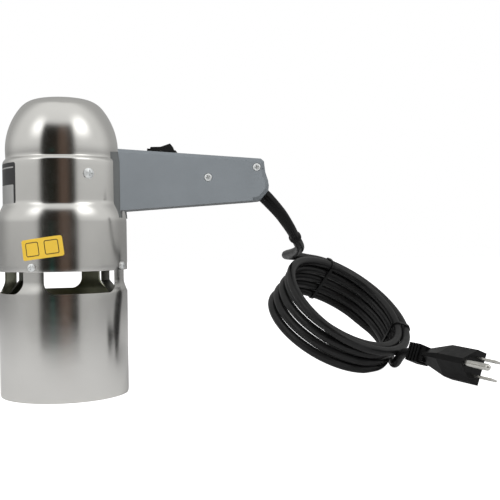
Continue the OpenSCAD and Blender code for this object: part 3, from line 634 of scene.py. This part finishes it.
def parting_groove(deg):
    return 1 - GROOVE_DEPTH * max(0, 1 - abs(deg % 180 - 90) / GROOVE_DEG)


sleeve = piece("strain_sleeve", *sweep(relief_path, radii, 40, parting_groove), PLUG, 35)
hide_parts("strain_relief")


# Shells, turned finely: heights and radii are those of part.scad

BARREL_R = 44.2
NECK_R = 40.6
SHEET_T = 1.2
SKIRT_T = 0.9
DOME_T = 1.0
WINDOW_Z = 71.7
BARREL_Z = 86.4
SHOULDER_Z = 119.5
NECK_Z = 132.0
SEAM_Z = 163.7
TOP_Z = 209.1
ROLL_R = 3.2
AXIS_R = 0.02  # a profile that reaches the axis stops this far from it

# The dome: a hollow foot on the neck's rolled edge, then side, rounding and crown, each tangent to the next
CROWN_Z = TOP_Z - 1.9  # the photograph's height
CROWN_R = 95.0
DOME_ROUND = 17.0
SIDE_R = 46.8
SIDE_AT = Vector((-8, SEAM_Z + 6.3))
SIDE_FROM = -5.2
FOOT_R = 38.58
FOOT_ROUND = 2.0
roll_at = Vector((NECK_R - ROLL_R, SEAM_Z - ROLL_R))
foot_x = FOOT_R + FOOT_ROUND
foot_up = math.sqrt((ROLL_R + FOOT_ROUND) ** 2 - (foot_x - roll_at.x) ** 2)
foot_at = Vector((foot_x, roll_at.y + foot_up))
crown_at = Vector((0, CROWN_Z - CROWN_R))
round_at = meet(SIDE_AT, SIDE_R - DOME_ROUND, crown_at, CROWN_R - DOME_ROUND)
side_end = bearing(SIDE_AT, round_at)
crown_end = bearing(crown_at, round_at)
dome_line = arc(*foot_at, FOOT_ROUND, 360 + bearing(foot_at, roll_at), 180, 10)
dome_line += arc(*SIDE_AT, SIDE_R, SIDE_FROM, side_end, 56)
dome_line += arc(*round_at, DOME_ROUND, side_end, crown_end, 20)[1:]
dome_line += arc(*crown_at, CROWN_R, crown_end, 90, 20)[1:-1]
dome_line.append((AXIS_R, CROWN_Z))
dome_wall = [(max(r, AXIS_R), z) for r, z in wall(dome_line, DOME_T)]
dome = piece("dome_shell", *lathe(dome_wall), POLISHED, 42)
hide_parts("dome_cap")

# The housing: rolled foot, barrel, shoulder with a soft foot at the neck, and the rolled top edge
BARREL_FOOT = [(0.25, 0), (0.05, 0.12), (0, 0.35)]  # in from the barrel's side, up from its lower edge
SHOULDER_IN = 3.65
SHOULDER_UP = 12.5
SHOULDER_R = (SHOULDER_IN ** 2 + SHOULDER_UP ** 2) / (2 * SHOULDER_IN)
SHOULDER_DEG = 24.5
SOFT_TOP = NECK_Z + 2.4
SOFT_BELOW = 2.2
SOFT_ABOVE = 2.6
TOP_IN = 7.0
house_line = [(BARREL_R - inwards, BARREL_Z + up) for inwards, up in BARREL_FOOT]
house_line += upright(BARREL_R, BARREL_Z, SHOULDER_Z, 8)
house_line += arc(BARREL_R - SHOULDER_R, SHOULDER_Z, SHOULDER_R, 0, SHOULDER_DEG, 26)
shoulder_end = Vector(house_line[-1])
neck_start = Vector((NECK_R, SOFT_TOP))
away = Vector((-math.sin(math.radians(SHOULDER_DEG)), math.cos(math.radians(SHOULDER_DEG))))
house_line += bezier(shoulder_end, shoulder_end + away * SOFT_BELOW, neck_start - Vector((0, SOFT_ABOVE)),
                     neck_start, 12)
house_line += upright(NECK_R, SOFT_TOP, SEAM_Z - ROLL_R, 8)
house_line += arc(*roll_at, ROLL_R, 0, 90, 14)
house_line.append((NECK_R - TOP_IN, SEAM_Z))
housing = piece("housing_shell", *lathe(wall(house_line, SHEET_T)), POLISHED, 42)

# The intake holes at the back
INTAKE_R = 2.3
INTAKE_DEG = 163
INTAKE_ROWS = 3
INTAKE_COLUMNS = 8
INTAKE_STEP_DEG = 10.5
INTAKE_STEP = 7
INTAKE_Z = NECK_Z + 9
circle = arc(0, 0, INTAKE_R, 0, 360, 24)[:-1]
holes = []
for row in range(INTAKE_ROWS):
    outline = [(s, z + INTAKE_Z + row * INTAKE_STEP) for s, z in circle]
    for column in range(INTAKE_COLUMNS):
        deg = INTAKE_DEG + (column - (INTAKE_COLUMNS - 1) / 2 + (row % 2) / 2) * INTAKE_STEP_DEG
        holes.append(radial_prism(outline, deg, 34, 46))
cut(housing, holes)
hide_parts("main_housing")

# The skirt: a rolled-in rim, windows, and legs that joggle in under the barrel
SKIRT_RIM = [(0.75, 0.0), (0.3, 0.12), (0.05, 1.2), (0, 3)]  # in from the side, up from the rim
JOGGLE_Z = WINDOW_Z - 0.7
JOGGLE_H = 9
JOGGLE_STEPS = 8
LEG_R = BARREL_R - SHEET_T - 0.1
LEG_TOP = BARREL_Z + 10
LEG_COUNT = 4
LEG_DEG = -15
LEG_HALF_DEG = 11.3
WINDOW_ROUND = 7.5
skirt_line = [(BARREL_R - inwards, up) for inwards, up in SKIRT_RIM]
skirt_line += upright(BARREL_R, SKIRT_RIM[-1][1], JOGGLE_Z, 12) + [(BARREL_R, JOGGLE_Z)]
for k in range(1, JOGGLE_STEPS + 1):
    t = k / JOGGLE_STEPS
    skirt_line.append((BARREL_R - (BARREL_R - LEG_R) * ease(t), JOGGLE_Z + JOGGLE_H * t))
skirt_line += [(LEG_R, WINDOW_Z + 14), (LEG_R, LEG_TOP)]
skirt = piece("skirt_shell", *lathe(wall(skirt_line, SKIRT_T), 288), SKIRT, 35)
window_deg = 180 / LEG_COUNT - LEG_HALF_DEG
half = BARREL_R * math.sin(math.radians(window_deg))
corner_w = WINDOW_ROUND * math.cos(math.radians(window_deg))
quarter = arc(0, 0, 1, 0, 90, 15)
round_corner = [(half - corner_w * (1 - x), WINDOW_Z + WINDOW_ROUND * (1 - z)) for x, z in quarter]
window = [(-half, LEG_TOP + 2), (half, LEG_TOP + 2)] + round_corner
window += [(-s, z) for s, z in round_corner[::-1]]
middles = [LEG_DEG + 180 / LEG_COUNT + 360 / LEG_COUNT * k for k in range(LEG_COUNT)]
cut(skirt, [radial_prism(window, deg, 20, 60) for deg in middles], 35)

# Its inner side is dull: the faces that look towards the axis take the second material
INWARDS = -0.2
skirt.data.materials.append(INNER)
for face in skirt.data.polygons:
    c = face.center
    if face.normal.x * c.x + face.normal.y * c.y < INWARDS * math.hypot(c.x, c.y):
        face.material_index = 1
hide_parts("nozzle_skirt")


# Saddle: a block between shell and handle, cut to the shell

ROOT_X = NECK_R + 2.1
HANDLE_TOP = SEAM_Z + 6.2
HANDLE_LOW = HANDLE_TOP - 42.5
SADDLE_HALF = 14.2
SADDLE_INNER_X = 30
SADDLE_TOP = HANDLE_TOP - 2
SADDLE_LOW = SHOULDER_Z + 3
SADDLE_FIT = 0.06
DOME_CLEAR_R = 39.0
saddle_line = [
    (SADDLE_INNER_X, SADDLE_TOP), (ROOT_X - 1.6, SADDLE_TOP), (ROOT_X, SEAM_Z - 3), (ROOT_X, HANDLE_LOW),
    (BARREL_R - 1.0, SADDLE_LOW), (SADDLE_INNER_X, SADDLE_LOW)
]
# The saddle's plastic is darker than the handle's: painted shade
saddle = piece("saddle_block", *slab(saddle_line, -SADDLE_HALF, SADDLE_HALF), SHADED_SADDLE, 30)
body_line = [(AXIS_R, SHOULDER_Z - 5)]
body_line += [(r + SADDLE_FIT, z) for r, z in house_line if z > SHOULDER_Z - 6]
body_line += [(DOME_CLEAR_R, SEAM_Z + 0.1), (DOME_CLEAR_R, TOP_Z), (AXIS_R, TOP_Z)]
cut(saddle, [lathe(body_line, 192)], 30)
bevel = saddle.modifiers.new("bevel", "BEVEL")
bevel.width = 0.5 * MM
bevel.segments = 3
bevel.limit_method = "ANGLE"
bevel.angle_limit = math.radians(40)
saddle.visible_glossy = False
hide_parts("handle_saddle")


# Handle screws: flush heads with a cross recess, in the counterbores of the front half

HANDLE_FRONT = -15.0
HEAD_R = 2.6
SHANK_R = 1.5
SHANK_L = 6
CROSS_HALF_L = 1.5
CROSS_HALF_W = 0.42
CROSS_DEPTH = 1.5
SCREWS = ((ROOT_X + 60.7, HANDLE_TOP - 20.5, 28), (ROOT_X + 94.2, HANDLE_TOP - 13.9, 8))  # x, z, turned by
head_line = [
    (AXIS_R, 0.35), (1.0, 0.32), (1.8, 0.2), (2.35, 0.0), (HEAD_R, -0.35), (HEAD_R, -1.7), (SHANK_R, -1.9),
    (SHANK_R, -SHANK_L), (AXIS_R, -SHANK_L)
]


def screw(at_x, at_z):
    """One screw, turned about Z and then laid so that its head looks towards the viewer."""
    verts, faces = lathe(head_line, 64)
    return [(at_x + a, HANDLE_FRONT - c, at_z + b) for a, b, c in verts], faces


def cross_slot(at_x, at_z, deg):
    cos, sin = math.cos(math.radians(deg)), math.sin(math.radians(deg))
    outline = []
    for u, v in ((-1, -1), (1, -1), (1, 1), (-1, 1)):
        u, v = u * CROSS_HALF_L, v * CROSS_HALF_W
        outline.append((at_x + u * cos - v * sin, at_z + u * sin + v * cos))
    return slab(outline, HANDLE_FRONT - 2, HANDLE_FRONT + CROSS_DEPTH)


heads = piece("handle_screw_heads", *merged([screw(at_x, at_z) for at_x, at_z, turned in SCREWS]), ZINC)
for at_x, at_z, turned in SCREWS:
    for deg in (turned, turned + 90):
        cut(heads, [cross_slot(at_x, at_z, deg)])
heads.visible_glossy = False
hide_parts("handle_screws")


# Films on the shells: a label with two bare squares on the barrel, a bare plate on the neck

FILM_T = 0.12
THIN_T = 0.06
FILM_ROWS = 24
FILM_COLUMNS = 48
CORNER_ROWS = 6
LABEL_DEG = -5.9
LABEL_Z = 102.3
LABEL_TILT = 7.3
LABEL_SIZE = (28.3, 13.5)
LABEL_R = BARREL_R + 0.02
SQUARE_ASIDE = 6.6
SQUARE_W = 9.4
SQUARE_LINE = 0.55
PLATE_DEG = -65
PLATE_R = NECK_R + 0.02
PRINT_UP = 0.1  # what is printed on a film stands this far out from the film's back
PANEL_W = 36.6


def wrapped(deg, z, tilt, base_r):
    """Gives the function that puts a point of a tilted film, sideways and up, on the shell at a radius."""
    cos, sin = math.cos(math.radians(tilt)), math.sin(math.radians(tilt))

    def at(s, v, r):
        a = math.radians(deg) + (s * cos - v * sin) / base_r
        return (r * math.sin(a), -r * math.cos(a), z + s * sin + v * cos)

    return at


def film(name, look, deg, z, size, r, corner, thick=FILM_T, tilt=0.0):
    """A rounded rectangle wrapped on the shell."""
    w, h = size
    at = wrapped(deg, z, tilt, r)
    turn_in = [corner * (1 - math.cos(math.pi / 2 * k / CORNER_ROWS)) for k in range(CORNER_ROWS)]
    rows = [-h / 2 + up for up in turn_in]
    rows += [-h / 2 + corner + (h - 2 * corner) * k / FILM_ROWS for k in range(FILM_ROWS + 1)]
    rows += [h / 2 - up for up in turn_in[::-1]]
    places = []
    for v in rows:
        past = max(0.0, abs(v) - (h / 2 - corner))
        half_w = w / 2 - corner + math.sqrt(max(0.0, corner ** 2 - past ** 2))
        places += [(half_w * (2 * k / FILM_COLUMNS - 1), v) for k in range(FILM_COLUMNS + 1)]
    verts = [at(s, v, out) for out in (r + thick, r) for s, v in places]
    n, across, back = len(rows), FILM_COLUMNS + 1, len(places)
    faces = []
    for j in range(n - 1):
        for k in range(FILM_COLUMNS):
            a = j * across + k
            b = a + across
            faces += [(a, a + 1, b + 1, b), (back + a, back + b, back + b + 1, back + a + 1)]
    ring = list(range(across)) + [j * across + across - 1 for j in range(1, n)]
    ring += [(n - 1) * across + k for k in range(across - 2, -1, -1)]
    ring += [j * across for j in range(n - 2, 0, -1)]
    faces += [(a, back + a, back + b, b) for a, b in zip(ring, ring[1:] + ring[:1])]
    return piece(name, verts, faces, look)


def outline_film(name, look, deg, z, size, r, corner, line, thick=FILM_T, tilt=0.0):
    """The printed outline of a rounded rectangle, wrapped on the shell."""
    w, h = size
    at = wrapped(deg, z, tilt, r)
    loop = []
    for sx, sy, start in ((1, 1, 0), (-1, 1, 90), (-1, -1, 180), (1, -1, 270)):
        for out_x, out_y in arc(0, 0, 1, start, start + 90, CORNER_ROWS):
            loop.append((sx * (w / 2 - corner), sy * (h / 2 - corner), out_x, out_y))
    loop = filled(loop, 1.0)
    verts = []
    for cx, cy, out_x, out_y in loop:
        for rad in (corner, corner - line):
            for out in (r, r + thick):
                verts.append(at(cx + out_x * rad, cy + out_y * rad, out))
    return piece(name, verts, band_faces(len(loop)), look)


label = film("yellow_sticker", YELLOW, LABEL_DEG, LABEL_Z, LABEL_SIZE, LABEL_R, 1.5, tilt=LABEL_TILT)
for k, aside in enumerate((-SQUARE_ASIDE, SQUARE_ASIDE)):
    deg = LABEL_DEG + math.degrees(aside * math.cos(math.radians(LABEL_TILT)) / LABEL_R)
    z = LABEL_Z + aside * math.sin(math.radians(LABEL_TILT))
    square = outline_film("sticker_frame_%d" % k, INK, deg, z, (SQUARE_W, SQUARE_W), LABEL_R + PRINT_UP, 1.3,
                          SQUARE_LINE, THIN_T, LABEL_TILT)
plate = film("side_plate", BLACK_FILM, PLATE_DEG, 145.3, (40, 29.2), PLATE_R, 1.6)
print_r = PLATE_R + PRINT_UP
panel = film("side_plate_panel", SILVER_FILM, PLATE_DEG, 138.6, (PANEL_W, 12.8), print_r, 0.9, THIN_T)
rule = film("side_plate_rule", SILVER_FILM, PLATE_DEG, 156.6, (PANEL_W, 0.9), print_r, 0.4, THIN_T)


# Floor, in metres: white to the camera; what it mirrors and bounces is darker, and fades with distance

FLOOR_FRONT = -0.325
FLOOR_SIDE = 3
FLOOR_BACK = 4
FADE_FROM, FADE_TO = 0.2, 0.8
FLOOR_NEAR, FLOOR_FAR = 0.92, 0.5
FLOOR_BOUNCE = 0.35

floor_mesh = bpy.data.meshes.new("floor")
floor_corners = [(-FLOOR_SIDE, FLOOR_FRONT, 0), (FLOOR_SIDE, FLOOR_FRONT, 0), (FLOOR_SIDE, FLOOR_BACK, 0),
                 (-FLOOR_SIDE, FLOOR_BACK, 0)]
floor_mesh.from_pydata(floor_corners, [], [(0, 1, 2, 3)])
floor = bpy.data.objects.new("floor", floor_mesh)
bpy.context.collection.objects.link(floor)
floor_look, nodes, links, shader = node_material("floor")
shader.inputs["Roughness"].default_value = 0.9
shader.inputs["Specular IOR Level"].default_value = 0.1
place = nodes.new("ShaderNodeTexCoord")
reach = nodes.new("ShaderNodeVectorMath")
reach.operation = "LENGTH"
links.new(place.outputs["Object"], reach.inputs[0])
fade = spread(nodes, links, reach.outputs["Value"], FLOOR_NEAR, FLOOR_FAR, FADE_FROM, FADE_TO)
seen = nodes.new("ShaderNodeLightPath")
bounce = nodes.new("ShaderNodeMix")
links.new(seen.outputs["Is Diffuse Ray"], bounce.inputs["Factor"])
links.new(fade, bounce.inputs["A"])
bounce.inputs["B"].default_value = FLOOR_BOUNCE
links.new(bounce.outputs["Result"], shader.inputs["Base Color"])
shader.inputs["Emission Color"].default_value = (1, 1, 1, 1)
links.new(seen.outputs["Is Camera Ray"], shader.inputs["Emission Strength"])
floor_mesh.materials.append(floor_look)


# World: white to the camera, soft light to dull surfaces, and a room of cards and dark fields to what mirrors

world = bpy.data.worlds.new("studio")
bpy.context.scene.world = world
world.use_nodes = True
nodes, links = world.node_tree.nodes, world.node_tree.links
nodes.clear()


def put(value, socket):
    """Links a node's output to a socket, or sets the socket to a number or a colour."""
    if isinstance(value, bpy.types.NodeSocket):
        links.new(value, socket)
    else:
        socket.default_value = value


def math_node(operation, *values):
    node = nodes.new("ShaderNodeMath")
    node.operation = operation
    for value, socket in zip(values, node.inputs):
        put(value, socket)
    return node.outputs[0]


def add(a, b):
    return math_node("ADD", a, b)


def times(a, b):
    return math_node("MULTIPLY", a, b)


def mixed(factor, a, b):
    """The colour a where factor is 0 and b where it is 1."""
    node = nodes.new("ShaderNodeMix")
    node.data_type = "RGBA"
    put(factor, node.inputs["Factor"])
    put(a, node.inputs[6])
    put(b, node.inputs[7])
    return node.outputs[2]


def background(color=(1, 1, 1, 1), strength=1):
    node = nodes.new("ShaderNodeBackground")
    put(color, node.inputs["Color"])
    put(strength, node.inputs["Strength"])
    return node.outputs[0]


def chosen(factor, a, b):
    """The shader a where factor is 0 and b where it is 1."""
    node = nodes.new("ShaderNodeMixShader")
    for value, socket in zip((factor, a, b), node.inputs):
        put(value, socket)
    return node.outputs[0]


def soft_step(value, start, end):
    node = nodes.new("ShaderNodeMapRange")
    node.interpolation_type = "SMOOTHSTEP"
    node.inputs["From Min"].default_value = start
    node.inputs["From Max"].default_value = end
    links.new(value, node.inputs["Value"])
    return node.outputs[0]


def step_between(value, low, high, soft):
    """1 between low and high, with soft edges."""
    return times(soft_step(value, low - soft, low + soft), soft_step(value, high + soft, high - soft))


def card(az_range, el_range, soft_az, soft_el):
    return times(step_between(azimuth, *az_range, soft_az), step_between(elevation, *el_range, soft_el))


# Directions: azimuth is 0 towards the camera's side and grows to the right, elevation is 0 at the horizon
DOWN = -100
EVERYWHERE = 200
coords = nodes.new("ShaderNodeTexCoord")
split = nodes.new("ShaderNodeSeparateXYZ")
links.new(coords.outputs["Generated"], split.inputs[0])
x, y, z = split.outputs
azimuth = times(math_node("ARCTAN2", x, times(y, -1)), 180 / math.pi)
elevation = times(math_node("ARCSINE", z), 180 / math.pi)

# Grey walls, lighter above and below the horizon and darker behind the tool
WALL = 0.4
ABOVE = 0.27
BELOW = 0.12
OVERHEAD = 0.1
BEHIND = -0.42
FRONT_AZ = 5
off = math_node("ABSOLUTE", add(azimuth, -FRONT_AZ))
behind = times(step_between(off, 112, 2 * EVERYWHERE, 20), BEHIND)
above = times(step_between(elevation, 4, EVERYWHERE, 7), ABOVE)
below = times(step_between(elevation, -EVERYWHERE, -9, 5), BELOW)
level = add(add(above, below), WALL)
level = add(level, times(step_between(elevation, 50, EVERYWHERE, 25), OVERHEAD))
level = times(level, add(1, behind))

# Two bright cards, left and right above the camera
LEFT_CARD = 1.1
RIGHT_CARD = 1.4
level = add(level, times(card((-55, -31), (25, 46), 13, 13), LEFT_CARD))
level = add(level, times(card((43, 73), (27, 50), 13, 13), RIGHT_CARD))
YELLOWISH = 0.985
grey = nodes.new("ShaderNodeCombineColor")
for value, socket in zip((level, level, times(level, YELLOWISH)), grey.inputs):
    put(value, socket)

# The dark field round the camera, with a brown streak and a thin teal one
DARK_COLOR = (0.01, 0.0085, 0.006, 1)
BROWN_COLOR = (0.1, 0.068, 0.052, 1)
TEAL_COLOR = (0.012, 0.12, 0.1, 1)
dark = card((-31, 38), (DOWN, 43), 4, 6)
brown = card((6, 24), (DOWN, 45), 6, 6)
teal = card((-9, -6), (DOWN, -1), 2, 2)
field = mixed(teal, mixed(brown, DARK_COLOR, BROWN_COLOR), TEAL_COLOR)
room = background(mixed(dark, grey.outputs[0], field))

# Soft light for what doesn't mirror: from all round, less from above, and more from the front
SOFT_COLOR = (0.8, 0.8, 0.8, 1)
SOFT_ROUND = 0.55
SOFT_FRONT = 1.25
SOFT_FALL = 0.5
front = math_node("MAXIMUM", times(y, -1), 0)
over = times(math_node("MAXIMUM", z, 0), -SOFT_FALL)
all_round = times(add(over, 1), SOFT_ROUND)
soft = background(SOFT_COLOR, add(times(front, SOFT_FRONT), all_round))
path = nodes.new("ShaderNodeLightPath")
unseen = chosen(path.outputs["Is Diffuse Ray"], room, soft)
out = nodes.new("ShaderNodeOutputWorld")
links.new(chosen(path.outputs["Is Camera Ray"], unseen, background()), out.inputs[0])


# Lights, in metres and watts

def area(name, location, target, size, power):
    data = bpy.data.lights.new(name, "AREA")
    data.shape = "RECTANGLE"
    data.size, data.size_y = size
    data.energy = power
    obj = bpy.data.objects.new(name, data)
    obj.location = location
    obj.rotation_euler = (Vector(target) - Vector(location)).to_track_quat("-Z", "Y").to_euler()
    obj.visible_camera = False
    obj.visible_glossy = False
    bpy.context.collection.objects.link(obj)


area("top_light", location=(0.25, 0.1, 1.2), target=(0.15, 0.05, 0.0), size=(0.9, 0.7), power=0.45)
area("front_light", location=(-0.5, -1.1, 1.0), target=(0.12, 0.0, 0.08), size=(0.5, 0.5), power=6.5)

view = bpy.context.scene.view_settings
view.view_transform = "Standard"
view.look = "None"
